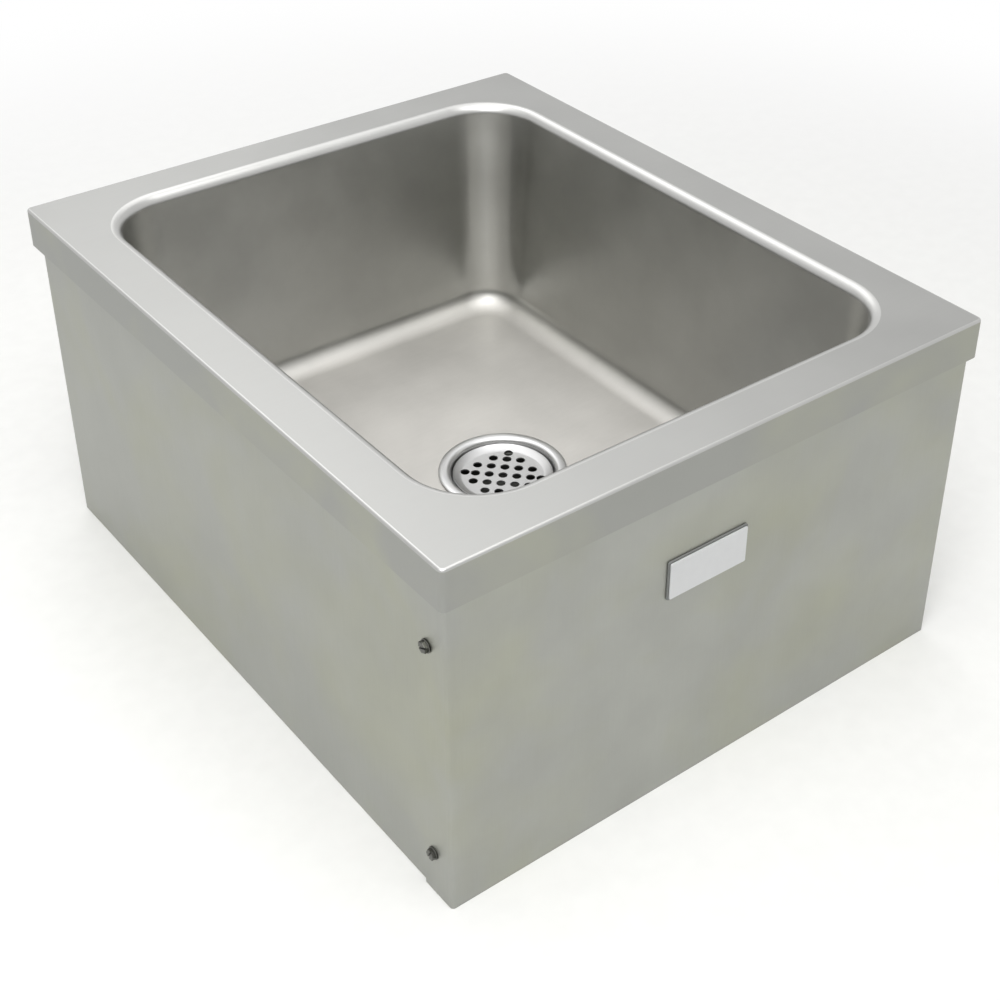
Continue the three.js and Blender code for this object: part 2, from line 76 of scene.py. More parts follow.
class SinkSizes(bpy.types.PropertyGroup):
    """Sizes of the sheet metal that a user would change."""

    sheet: bpy.props.FloatProperty(
        name="Sheet", description="Thickness of the stainless sheet",
        default=1.5 * MM, min=0.5 * MM, unit="LENGTH",
    )
    deck_border: bpy.props.FloatProperty(
        name="Deck border", description="Flat border between the apron and the bowl",
        default=35.6 * MM, min=10 * MM, unit="LENGTH",
    )
    deck_bend: bpy.props.FloatProperty(
        name="Deck bend", description="Outer radius of the bend from deck to apron",
        default=2 * MM, min=1.5 * MM, unit="LENGTH",
    )
    deck_corner: bpy.props.FloatProperty(
        name="Deck corner", description="Radius of the apron's four upright corners",
        default=4.5 * MM, min=2 * MM, unit="LENGTH",
    )
    opening_corner: bpy.props.FloatProperty(
        name="Opening corner", description="Corner radius where the deck turns into the bowl",
        default=62 * MM, min=20 * MM, unit="LENGTH",
    )
    roll: bpy.props.FloatProperty(
        name="Rim roll", description="Radius of the rolled edge into the bowl",
        default=8.5 * MM, min=3 * MM, unit="LENGTH",
    )
    wall_draft: bpy.props.FloatProperty(
        name="Wall draft", description="Lean of the drawn walls from upright",
        default=math.radians(4), min=0, max=math.radians(20), subtype="ANGLE",
    )
    floor_fillet: bpy.props.FloatProperty(
        name="Floor fillet", description="Radius between the walls and the floor",
        default=22 * MM, min=5 * MM, unit="LENGTH",
    )
    floor_fall: bpy.props.FloatProperty(
        name="Floor fall", description="How far the floor falls from its edge to the drain",
        default=4 * MM, min=0, unit="LENGTH",
    )
    drain_seat: bpy.props.FloatProperty(
        name="Drain seat", description="Radius of the flat ring that the drain sits on",
        default=60 * MM, min=50 * MM, unit="LENGTH",
    )
    drain_hole: bpy.props.FloatProperty(
        name="Drain hole", description="Radius of the hole in the bowl floor",
        default=46.2 * MM, min=20 * MM, unit="LENGTH",
    )
    panel_bend: bpy.props.FloatProperty(
        name="Skirt bend", description="Outer radius of the skirt's upright bends",
        default=3 * MM, min=1.6 * MM, unit="LENGTH",
    )
    top_flange: bpy.props.FloatProperty(
        name="Top flange", description="Width of the skirt's flange under the deck",
        default=20 * MM, min=5 * MM, unit="LENGTH",
    )
    foot_flange: bpy.props.FloatProperty(
        name="Foot flange", description="Width of the skirt's flange on the floor",
        default=19 * MM, min=5 * MM, unit="LENGTH",
    )


class SinkColours(bpy.types.PropertyGroup):
    """Colours of the finishes, as sRGB hex values."""

    deck: bpy.props.StringProperty(
        name="Deck steel", description="Satin deck", default="#9F9F9D",
    )
    # Painted shade: the upright apron is painted a little darker than the deck, on top of its
    # real tarnish and dullness
    apron: bpy.props.StringProperty(
        name="Apron steel", description="Folded apron, a little duller than the deck",
        default="#9B9C98",
    )
    # Painted highlight: the roll and the bends are painted paler than the deck, on top of their
    # real polish
    edge: bpy.props.StringProperty(
        name="Edge steel", description="Polished roll and bend round the deck",
        default="#B5B5B3",
    )
    bowl: bpy.props.StringProperty(
        name="Bowl steel", description="Drawn and satin finished bowl", default="#A6A6A2",
    )
    # Painted light: the floor is painted paler than the walls, as lit from the lamps above. Its
    # dullness is the real scuffing
    bowl_floor_painted_light: bpy.props.StringProperty(
        name="Bowl floor", description="Floor of the bowl, scuffed pale", default="#C3C1BD",
    )
    skirt: bpy.props.StringProperty(
        name="Skirt steel", description="Mill finish skirt panels", default="#A4A5A0",
    )
    tarnish: bpy.props.StringProperty(
        name="Tarnish", description="Warm patches in the satin steel", default="#A3A497",
    )
    drain: bpy.props.StringProperty(
        name="Drain steel", description="Polished drain body", default="#C6C6C6",
    )
    strainer: bpy.props.StringProperty(
        name="Strainer steel", description="Satin strainer plate", default="#B8B8B8",
    )
    # Painted shade: the cup is dark so that the strainer's holes above it read as black
    cup: bpy.props.StringProperty(
        name="Drain cup", description="Water-stained steel below the strainer",
        default="#52524F",
    )
    frame: bpy.props.StringProperty(
        name="Frame steel", description="Galvanised posts and rail", default="#93979A",
    )
    screw: bpy.props.StringProperty(
        name="Screw steel", description="Plated panel screws", default="#5C5C58",
    )
    plate: bpy.props.StringProperty(
        name="Plate face", description="Blank rating plate", default="#D8D9DA",
    )
    pad: bpy.props.StringProperty(
        name="Plate pad", description="Grey foam behind the plate", default="#7C7E7C",
    )
    rubber: bpy.props.StringProperty(
        name="Rubber", description="Gasket and washer", default="#1F1F20",
    )
    fibre: bpy.props.StringProperty(
        name="Fibre", description="Friction ring", default="#8C7A62",
    )
    brass: bpy.props.StringProperty(
        name="Brass", description="Nuts and tailpiece", default="#B59A56",
    )
    floor: bpy.props.StringProperty(
        name="Studio floor", description="Plain pale floor", default="#F2F2F0",
    )


class StudioSettings(bpy.types.PropertyGroup):
    """Camera and lamps."""

    lens: bpy.props.FloatProperty(
        name="Lens", description="Focal length on a 36 mm sensor", default=61.03, min=10,
    )
    sky: bpy.props.FloatProperty(
        name="Sky", description="Strength of the even light from all round", default=0.3, min=0,
    )
    glow: bpy.props.FloatProperty(
        name="Glow", description="Light that the far part of the paper gives the sink",
        default=0.1, min=0,
    )
    overhead: bpy.props.FloatProperty(
        name="Overhead lamp", description="Power of the large lamp above, a little to the front",
        default=31, min=0, unit="POWER",
    )
    front: bpy.props.FloatProperty(
        name="Front lamp", description="Power of the lamp at the front left",
        default=18, min=0, unit="POWER",
    )
    back_high: bpy.props.FloatProperty(
        name="Back high lamp", description="Power of the high lamp behind the sink",
        default=7.5, min=0, unit="POWER",
    )
    back_low: bpy.props.FloatProperty(
        name="Back low lamp", description="Power of the lower lamp behind the sink",
        default=5.8, min=0, unit="POWER",
    )
    left: bpy.props.FloatProperty(
        name="Left lamp", description="Power of the high lamp at the left",
        default=3.7, min=0, unit="POWER",
    )


# ---------------------------------------------------------------- modelling by hand


def leave_edit_mode():
    """Object mode with nothing selected, as each new piece starts."""
    if bpy.context.object and bpy.context.object.mode != "OBJECT":
        bpy.ops.object.mode_set(mode="OBJECT")
    bpy.ops.object.select_all(action="DESELECT")


def edit(piece):
    """Edit mode on one piece with nothing selected in it."""
    leave_edit_mode()
    bpy.context.view_layer.objects.active = piece
    piece.select_set(True)
    bpy.ops.object.mode_set(mode="EDIT")
    bpy.ops.mesh.select_all(action="DESELECT")


def pick(piece, kind, test):
    """Selects only the vertices, edges or faces that pass a test, of which there must be some."""
    bpy.ops.mesh.select_mode(type={"verts": "VERT", "edges": "EDGE", "faces": "FACE"}[kind])
    bpy.ops.mesh.select_all(action="DESELECT")
    mesh = bmesh.from_edit_mesh(piece.data)
    chosen = [part for part in getattr(mesh, kind) if test(part)]
    if not chosen:
        raise RuntimeError(f"{piece.name} has none of the {kind} that its next step shapes")
    for part in chosen:
        part.select_set(True)
    mesh.select_flush_mode()
    bmesh.update_edit_mesh(piece.data)


def settle(piece):
    """Puts a piece's place, turn and scale in its mesh, with its origin at the world's."""
    leave_edit_mode()
    bpy.context.view_layer.objects.active = piece
    piece.select_set(True)
    bpy.ops.object.transform_apply(location=True, rotation=True, scale=True)


def new_piece(name, add, **settings):
    """Adds a primitive and settles it as a piece of its own."""
    leave_edit_mode()
    add(**settings)
    piece = bpy.context.active_object
    piece.name = name
    piece.data.name = name
    settle(piece)
    return piece


def apply_modifier(piece, kind, **settings):
    """Adds one modifier and applies it at once."""
    leave_edit_mode()
    bpy.context.view_layer.objects.active = piece
    piece.select_set(True)
    modifier = piece.modifiers.new(kind.title(), kind)
    for name, value in settings.items():
        setattr(modifier, name, value)
    bpy.ops.object.modifier_apply(modifier=modifier.name)


def smooth(piece, angle=30):
    """Smooth shading that keeps folds sharper than an angle, and flats flat."""
    leave_edit_mode()
    bpy.context.view_layer.objects.active = piece
    piece.select_set(True)
    bpy.ops.object.shade_smooth_by_angle(angle=math.radians(angle))
    apply_modifier(piece, "WEIGHTED_NORMAL", keep_sharp=True, weight=60)


def thicken(piece, thickness):
    """Gives a sheet its wall on the side that its faces turn away from."""
    apply_modifier(piece, "SOLIDIFY", thickness=thickness, offset=-1, use_even_offset=True)


def dress(piece, material, body, slot, *nodes):
    """Gives a finished piece its material, its body and what it replaces; slot is not used."""
    leave_edit_mode()
    piece.data.materials.clear()
    piece.data.materials.append(material)
    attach(piece, body)
    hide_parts(*nodes)


def merge_close(piece):
    """Merges the vertices that a spin, a boolean or a bevel leaves on one another."""
    edit(piece)
    bpy.ops.mesh.select_all(action="SELECT")
    bpy.ops.mesh.remove_doubles(threshold=CLOSE)
    leave_edit_mode()


def second_finish(piece, material, test):
    """Gives the faces that pass a test another material."""
    piece.data.materials.append(material)
    edit(piece)
    pick(piece, "faces", test)
    piece.active_material_index = len(piece.data.materials) - 1
    bpy.ops.object.material_slot_assign()
    leave_edit_mode()


def rounded_outline(piece, half_x, half_y, radius, arcs, cuts):
    """Rounds the corners of a plane that lies in edit mode and divides its long sides."""
    def is_corner(vert):
        return abs(abs(vert.co.x) - half_x) < CLOSE and abs(abs(vert.co.y) - half_y) < CLOSE

    def is_long(edge):
        return edge.calc_length() > min(half_x, half_y)

    pick(piece, "verts", is_corner)
    bpy.ops.mesh.bevel(
        offset_type="OFFSET", offset=radius, segments=arcs, profile=0.5, affect="VERTICES",
    )
    pick(piece, "edges", is_long)
    bpy.ops.mesh.subdivide(number_cuts=cuts)


def press(steps):
    """Presses the selected face through steps of inset and rise, ring by ring."""
    for inset, rise in steps:
        bpy.ops.mesh.inset(thickness=inset, depth=rise, use_even_offset=True)


def bend_steps(radius, first, last, count):
    """Inset and rise of each step of a bend, between two angles from upright (0) to flat."""
    angles = [first + (last - first) * step / count for step in range(count + 1)]
    insets = [radius * (1 - math.cos(angle)) for angle in angles]
    rises = [radius * math.sin(angle) for angle in angles]
    return [
        (insets[step + 1] - insets[step], rises[step + 1] - rises[step])
        for step in range(count)
    ]


def turned_piece(name, section, centre, steps):
    """Spins a section, a list of (radius, height) points, into a turned piece."""
    first = section[0]
    piece = new_piece(name, bpy.ops.mesh.primitive_plane_add, size=1 * MM)
    edit(piece)
    bpy.ops.mesh.select_mode(type="VERT")
    bpy.ops.mesh.select_all(action="SELECT")
    bpy.ops.mesh.merge(type="CENTER")
    bpy.ops.transform.translate(value=(centre[0] + first[0], centre[1], first[1]))
    for before, after in zip(section, section[1:]):
        bpy.ops.mesh.extrude_region_move(TRANSFORM_OT_translate={
            "value": (after[0] - before[0], 0, after[1] - before[1]),
        })
    bpy.ops.mesh.select_all(action="SELECT")
    bpy.ops.mesh.spin(
        steps=steps, angle=2 * math.pi, center=(centre[0], centre[1], 0), axis=(0, 0, 1),
    )
    merge_close(piece)
    edit(piece)
    bpy.ops.mesh.select_all(action="SELECT")
    bpy.ops.mesh.normals_make_consistent(inside=False)
    leave_edit_mode()
    return piece


# ---------------------------------------------------------------- materials


def linear(colour):
    """Linear RGBA of an sRGB hex colour."""
    def channel(value):
        if value <= 0.04045:
            return value / 12.92
        return ((value + 0.055) / 1.055) ** 2.4

    values = [int(colour[start:start + 2], 16) / 255 for start in (1, 3, 5)]
    return (*[channel(value) for value in values], 1)


def add_node(tree, kind, sockets=None, **settings):
    """Adds a node, sets it up, and sets or links the sockets that are named."""
    node = tree.nodes.new(kind)
    for name, value in settings.items():
        setattr(node, name, value)
    for name, value in (sockets or {}).items():
        if isinstance(value, bpy.types.NodeSocket):
            tree.links.new(value, node.inputs[name])
        else:
            node.inputs[name].default_value = value
    return node


def new_material(name, **shader):
    """A material with one principled shader; returns the material, its tree and shader."""
    material = bpy.data.materials.new(name)
    material.use_nodes = True
    tree = material.node_tree
    principled = tree.nodes["Principled BSDF"]
    for socket, value in shader.items():
        principled.inputs[socket.replace("_", " ").title()].default_value = value
    return material, tree, principled


def shades(tree, pattern, colour, variation):
    """A colour that a noise pattern makes darker and lighter by a share."""
    ramp = add_node(tree, "ShaderNodeValToRGB", {"Fac": pattern.outputs["Fac"]})
    # Most of a noise lies between 0.35 and 0.65
    stops = zip(ramp.color_ramp.elements, (0.35, 0.65), (1 - variation, 1 + variation))
    for stop, position, share in stops:
        stop.position = position
        stop.color = (*[min(1, channel * share) for channel in colour[:3]], 1)
    return ramp.outputs["Color"]


def satin_steel(
    name, colour, tarnish=None, lines=(1500, 1500, 1500), roughness=0.4, spread=0.02,
    blotch=0.02, wave=0, relief=0.004 * MM, scuffed=None, brushing=0,
):
    """Type 304 stainless sheet with a satin finish.

    The eye sees a soft wide highlight that breaks up along the grain, faint cloudy patches
    where hands and cleaner have dulled the sheet, a warm tarnish in places, and a slight
    wave in the large flats. The floor of a bowl is duller instead, where buckets have scuffed
    it, and painted paler as painted light from the lamps above, with the pale colour given as
    tarnish: scuffed is the height where that starts, the height where it is full, and how much
    rougher it is. Above it, brushing stretches the highlight up and down, across lines that
    run round the piece.

    lines counts the grain lines in a metre along each axis. spread varies the roughness and
    blotch the colour. wave and relief are the heights of the sheet's wave and of its grain.
    """
    material, tree, shader = new_material(name, metallic=1, anisotropic_rotation=0.25)
    place = add_node(tree, "ShaderNodeTexCoord").outputs["Object"]
    # Grain lines are drawn 0.3 to 2.5 mm wide, coarser than the real 0.05 mm, so that they show
    stretched = add_node(tree, "ShaderNodeMapping", {"Vector": place, "Scale": lines})
    grain = add_node(tree, "ShaderNodeTexNoise", {
        "Vector": stretched.outputs["Vector"], "Scale": 1, "Detail": 3, "Roughness": 0.6,
    })
    # Cloudy patches are 40 to 80 mm across
    clouds = add_node(tree, "ShaderNodeTexNoise", {
        "Vector": place, "Scale": 14, "Detail": 4, "Roughness": 0.55,
    })
    clean = shades(tree, clouds, linear(colour), blotch)
    tarnish_and_lit_floor = shades(tree, clouds, linear(tarnish or colour), blotch)
    # On a bowl, tarnish carries the floor's paler colour, painted light from above, blended in by
    # height together with the roughness of the scuffs
    if scuffed:
        start, full, extra = scuffed
        height = add_node(tree, "ShaderNodeSeparateXYZ", {"Vector": place}).outputs["Z"]
        share = add_node(tree, "ShaderNodeMapRange", {
            "Value": height, "From Min": start, "From Max": full,
        })
        # The brushing comes in over the 20 mm above the scuffs
        lay = add_node(tree, "ShaderNodeMapRange", {
            "Value": height, "From Min": start, "From Max": start + 20 * MM,
            "To Max": brushing,
        })
        tree.links.new(lay.outputs["Result"], shader.inputs["Anisotropic"])
    else:
        # The tarnish is 100 to 200 mm across
        stains = add_node(tree, "ShaderNodeTexNoise", {
            "Vector": place, "Scale": 7, "Detail": 3, "Roughness": 0.6, "Distortion": 0.4,
        })
        share = add_node(tree, "ShaderNodeMapRange", {
            "Value": stains.outputs["Fac"], "From Min": 0.45, "From Max": 0.7,
        })
    # Inputs 6 and 7 and output 2 of a Mix node are its colours
    tint = add_node(tree, "ShaderNodeMix", data_type="RGBA")
    tree.links.new(share.outputs["Result"], tint.inputs["Factor"])
    tree.links.new(clean, tint.inputs[6])
    tree.links.new(tarnish_and_lit_floor, tint.inputs[7])
    tree.links.new(tint.outputs[2], shader.inputs["Base Color"])

    streaks = add_node(tree, "ShaderNodeMapRange", {
        "Value": grain.outputs["Fac"], "From Min": 0.3, "From Max": 0.7,
        "To Min": roughness - spread, "To Max": roughness + spread,
    })
    patches = add_node(tree, "ShaderNodeMapRange", {
        "Value": clouds.outputs["Fac"], "From Min": 0.35, "From Max": 0.65,
        "To Min": -spread, "To Max": spread,
    })
    total = add_node(tree, "ShaderNodeMath", operation="ADD")
    tree.links.new(streaks.outputs["Result"], total.inputs[0])
    tree.links.new(patches.outputs["Result"], total.inputs[1])
    if scuffed:
        sheen = total
        total = add_node(tree, "ShaderNodeMath", operation="MULTIPLY_ADD")
        tree.links.new(share.outputs["Result"], total.inputs[0])
        total.inputs[1].default_value = extra
        tree.links.new(sheen.outputs["Value"], total.inputs[2])
    tree.links.new(total.outputs["Value"], shader.inputs["Roughness"])

    # The sheet's wave is about 150 mm long
    waves = add_node(tree, "ShaderNodeTexNoise", {
        "Vector": place, "Scale": 6, "Detail": 1, "Roughness": 0.4,
    })
    wave_bump = add_node(tree, "ShaderNodeBump", {
        "Height": waves.outputs["Fac"], "Strength": 1, "Distance": wave,
    })
    grain_bump = add_node(tree, "ShaderNodeBump", {
        "Height": grain.outputs["Fac"], "Strength": 1, "Distance": relief,
        "Normal": wave_bump.outputs["Normal"],
    })
    tree.links.new(grain_bump.outputs["Normal"], shader.inputs["Normal"])
    return material


def plain_finish(name, colour, metallic, roughness, grit, depth, variation):
    """A matt or cast finish: one grit of a size in millimetres, in colour and in height."""
    material, tree, shader = new_material(name, metallic=metallic)
    place = add_node(tree, "ShaderNodeTexCoord").outputs["Object"]
    grains = add_node(tree, "ShaderNodeTexNoise", {
        "Vector": place, "Scale": 1 / (grit * MM), "Detail": 3, "Roughness": 0.6,
    })
    tint = shades(tree, grains, linear(colour), variation)
    tree.links.new(tint, shader.inputs["Base Color"])
    rough = add_node(tree, "ShaderNodeMapRange", {
        "Value": grains.outputs["Fac"], "From Min": 0.3, "From Max": 0.7,
        "To Min": roughness - 0.06, "To Max": roughness + 0.06,
    })
    tree.links.new(rough.outputs["Result"], shader.inputs["Roughness"])
    bump = add_node(tree, "ShaderNodeBump", {
        "Height": grains.outputs["Fac"], "Strength": 1, "Distance": depth,
    })
    tree.links.new(bump.outputs["Normal"], shader.inputs["Normal"])
    return material


def backdrop_strength(tree, light):
    """Strength of a backdrop: white where it is seen, also in metal and glass, else its light."""
    path = add_node(tree, "ShaderNodeLightPath")
    seen = path.outputs["Is Camera Ray"]
    for ray in ("Is Glossy Ray", "Is Transmission Ray"):
        either = add_node(tree, "ShaderNodeMath", operation="MAXIMUM")
        tree.links.new(seen, either.inputs[0])
        tree.links.new(path.outputs[ray], either.inputs[1])
        seen = either.outputs["Value"]
    strength = add_node(tree, "ShaderNodeMapRange", {
        "Value": seen, "To Min": light, "To Max": 1,
    })
    return strength.outputs["Result"]


def studio_paper(colour, glow):
    """Matt white paper that fades to plain white away from the sink, and keeps its shadow."""
    material, tree, shader = new_material("white_studio_paper", roughness=0.8)
    place = add_node(tree, "ShaderNodeTexCoord").outputs["Object"]
    # Paper fibres in clumps of about 20 mm, a hundredth lighter and darker
    fibres = add_node(tree, "ShaderNodeTexNoise", {"Vector": place, "Scale": 50, "Detail": 3})
    tint = shades(tree, fibres, linear(colour), 0.01)
    tree.links.new(tint, shader.inputs["Base Color"])

    # The white starts 0.6 m from the middle of the sink and is full at 1.5 m
    distance = add_node(tree, "ShaderNodeVectorMath", operation="LENGTH")
    tree.links.new(place, distance.inputs[0])
    fade = add_node(tree, "ShaderNodeMapRange", {
        "Value": distance.outputs["Value"], "From Min": 0.6, "From Max": 1.5,
    }, interpolation_type="SMOOTHSTEP")
    backdrop = add_node(tree, "ShaderNodeEmission", {"Strength": backdrop_strength(tree, glow)})
    blend = add_node(tree, "ShaderNodeMixShader", {"Fac": fade.outputs["Result"]})
    tree.links.new(shader.outputs["BSDF"], blend.inputs[1])
    tree.links.new(backdrop.outputs["Emission"], blend.inputs[2])
    tree.links.new(blend.outputs["Shader"], tree.nodes["Material Output"].inputs["Surface"])
    return material


def sizes():
    """The sizes in the scene's own settings."""
    return bpy.context.scene.sink_sizes


def colours():
    """The colours in the scene's own settings."""
    return bpy.context.scene.sink_colours


# ---------------------------------------------------------------- deck and bowl

# Points on each rounded corner, and cuts along each side, of the deck and the bowl alike
ARC_STEPS = 16
SIDE_CUTS = 11
# The deck stops this far short of the border's inner edge, where the bowl's flat edge starts
SEAM = 0.6 * MM


def add_opening(piece):
    """Adds the bowl's opening outline to a piece in edit mode, as one face on the deck."""
    size = sizes()
    half_x = DECK_HIGH.x - size.deck_border + SEAM
    half_y = DECK_HIGH.y - size.deck_border + SEAM
    bpy.ops.mesh.primitive_plane_add(size=2, location=(0, 0, DECK_HIGH.z))
    bpy.ops.transform.resize(value=(half_x, half_y, 1), center_override=(0, 0, 0))
    rounded_outline(piece, half_x, half_y, size.opening_corner + SEAM, ARC_STEPS, SIDE_CUTS)


def is_curved_up(face):
    """Whether a face lies on a bend or a roll that can be seen from above."""
    return 0.02 < face.normal.z < 0.999


class SINK_OT_deck(bpy.types.Operator):
    """Folds the rim deck with its apron on all four sides"""

    bl_idname = "sink.deck"
    bl_label = "Rim deck"

    def execute(self, context):
        size = sizes()
        deck = new_piece(
            "deck_with_apron", bpy.ops.mesh.primitive_plane_add, size=2,
            location=(0, 0, DECK_LOW.z),
        )
        edit(deck)
        bpy.ops.mesh.select_all(action="SELECT")
        bpy.ops.transform.resize(
            value=(DECK_HIGH.x, DECK_HIGH.y, 1), center_override=(0, 0, DECK_LOW.z),
        )
        rounded_outline(
            deck, DECK_HIGH.x, DECK_HIGH.y, size.deck_corner, ARC_STEPS, SIDE_CUTS,
        )
        pick(deck, "faces", lambda face: True)
        apron_rise = DECK_HIGH.z - DECK_LOW.z - size.deck_bend
        press([(0, apron_rise), *bend_steps(size.deck_bend, 0, math.pi / 2, 8)])
        pick(deck, "faces", lambda face: len(face.verts) > 4)
        bpy.ops.mesh.delete(type="ONLY_FACE")
        add_opening(deck)
        pick(deck, "faces", lambda face: len(face.verts) > 4)
        bpy.ops.mesh.delete(type="ONLY_FACE")

        def on_top(edge):
            level = all(abs(vert.co.z - DECK_HIGH.z) < CLOSE for vert in edge.verts)
            return level and len(edge.link_faces) < 2

        pick(deck, "edges", on_top)
        bpy.ops.mesh.bridge_edge_loops()
        thicken(deck, size.sheet)
        smooth(deck)
        settle(deck)
        colour = colours()
        # Brushed along the deck's width: a wide highlight and faint lines
        steel = satin_steel(
            "satin_304_deck", colour.deck, lines=(25, 1500, 1500), wave=0.3 * MM,
        )
        dress(deck, steel, "sink", "deck_steel", "rim_deck")
        # The same sheet where it turns down: duller, with a warm tarnish, and painted a little
        # darker than the deck as painted shade on the upright apron
        apron_steel_with_shade = satin_steel(
            "satin_304_apron", colour.apron, colour.tarnish, roughness=0.42, wave=0.3 * MM,
        )
        second_finish(deck, apron_steel_with_shade, lambda face: (
            face.calc_center_median().z < DECK_HIGH.z - size.deck_bend
        ))
        # Polished by the die and by wear, and painted paler than the deck as a painted highlight:
        # a pale thin glint along every bend
        edge = satin_steel(
            "polished_304_edge", colour.edge, lines=(3000, 3000, 3000), roughness=0.34, relief=0,
        )
        second_finish(deck, edge, is_curved_up)
        return {"FINISHED"}


class SINK_OT_bowl(bpy.types.Operator):
    """Draws the bowl from its rolled rim down to the drain hole"""

    bl_idname = "sink.bowl"
    bl_label = "Drawn bowl"

    def execute(self, context):
        size = sizes()
        bowl = new_piece("bowl_shell", bpy.ops.mesh.primitive_plane_add, size=1 * MM)
        edit(bowl)
        bpy.ops.mesh.select_all(action="SELECT")
        bpy.ops.mesh.delete(type="VERT")
        add_opening(bowl)
        pick(bowl, "faces", lambda face: True)

        draft = size.wall_draft
        floor_edge = DRAIN_SEAT + size.floor_fall
        roll_drop = size.roll * (1 - math.sin(draft))
        fillet_rise = size.floor_fillet * (1 - math.sin(draft))
        wall = DECK_HIGH.z - roll_drop - fillet_rise - floor_edge
        wall_rings, bend_rings = 10, 12
        flat_edge = SEAM + 0.3 * MM
        roll = [
            (rise, -inset)
            for inset, rise in bend_steps(size.roll, 0, math.pi / 2 - draft, bend_rings)
        ]
        straight = [(wall * math.tan(draft) / wall_rings, -wall / wall_rings)] * wall_rings
        fillet = [
            (inset, -rise)
            for inset, rise in bend_steps(size.floor_fillet, draft, math.pi / 2, bend_rings)
        ]
        press([(flat_edge, 0), *roll, *straight, *fillet])

        pick(bowl, "faces", lambda face: len(face.verts) > 4)
        bpy.ops.mesh.delete(type="ONLY_FACE")
        count = 4 * (ARC_STEPS + SIDE_CUTS + 1)
        centre = ((DRAIN_LOW.x + DRAIN_HIGH.x) / 2, 0, DRAIN_SEAT)
        bpy.ops.mesh.primitive_circle_add(
            vertices=count, radius=size.drain_seat, location=centre,
            rotation=(0, 0, math.pi / 4),
        )

        def is_rim(edge):
            return len(edge.link_faces) < 2 and edge.verts[0].co.z < floor_edge + LEVEL

        pick(bowl, "edges", is_rim)
        bpy.ops.mesh.bridge_edge_loops(number_cuts=8, interpolation="LINEAR")
        pick(bowl, "edges", lambda edge: (
            len(edge.link_faces) < 2 and edge.verts[0].co.z < DRAIN_SEAT + LEVEL
        ))
        bpy.ops.mesh.extrude_edges_move(TRANSFORM_OT_translate={"value": (0, 0, 0)})
        share = size.drain_hole / size.drain_seat
        bpy.ops.transform.resize(value=(share, share, 1), center_override=centre)
        thicken(bowl, size.sheet)
        smooth(bowl, 40)
        settle(bowl)
        colour = colours()
        # Brushed round the walls: upright bands of light in the corners, and a dull floor painted
        # paler as painted light from above, which also brightens the fillet's highlight
        steel = satin_steel(
            "brushed_304_bowl", colour.bowl, colour.bowl_floor_painted_light, lines=(40, 400, 1000),
            roughness=0.32, blotch=0.05, wave=0.4 * MM, relief=0, brushing=0.8,
            scuffed=(floor_edge + 16 * MM, floor_edge + 1 * MM, 0.3),
        )
        dress(bowl, steel, "sink", "bowl_steel", "drawn_bowl")
        second_finish(bowl, bpy.data.materials["satin_304_deck"], lambda face: (
            face.calc_center_median().z > DECK_HIGH.z - LEVEL
        ))
        # The rolled rim gets the same paler steel: a painted highlight along the rim
        second_finish(bowl, bpy.data.materials["polished_304_edge"], lambda face: (
            face.calc_center_median().z > DECK_HIGH.z - roll_drop and is_curved_up(face)
        ))
        return {"FINISHED"}


# ---------------------------------------------------------------- skirt


def folded_channel(name, low, high, open_side, bend, flanges):
    """Three upright faces of a box round two rounded bends, with a flange at each cap.

    flanges gives the width of the flange at the top (1) and at the foot (-1), or nothing.
    """
    piece = new_piece(
        name, bpy.ops.mesh.primitive_cube_add, size=1, location=(low + high) / 2,
        scale=high - low,
    )
    edit(piece)
    folded_y = low.y if open_side > 0 else high.y
    open_y = high.y if open_side > 0 else low.y
    for side in (1, -1):
        pick(piece, "faces", lambda face: face.normal.z * side > 0.5)
        if side in flanges:
            bpy.ops.mesh.inset(thickness=flanges[side])
        bpy.ops.mesh.delete(type="FACE")

    def is_upright_fold(edge):
        upright = abs(edge.verts[0].co.z - edge.verts[1].co.z) > 0.1
        return upright and abs(edge.verts[0].co.y - folded_y) < CLOSE

    def is_long_and_open(edge):
        start, end = edge.verts[0].co, edge.verts[1].co
        on_open_side = abs(start.y - open_y) + abs(end.y - open_y) < CLOSE
        return on_open_side and edge.calc_length() > 0.2 and abs(start.z - end.z) < CLOSE

    pick(piece, "edges", is_upright_fold)
    bpy.ops.mesh.bevel(offset=bend, segments=10, profile=0.5, affect="EDGES")
    pick(piece, "faces", lambda face: any(is_long_and_open(edge) for edge in face.edges))
    bpy.ops.mesh.delete(type="FACE")
    return piece


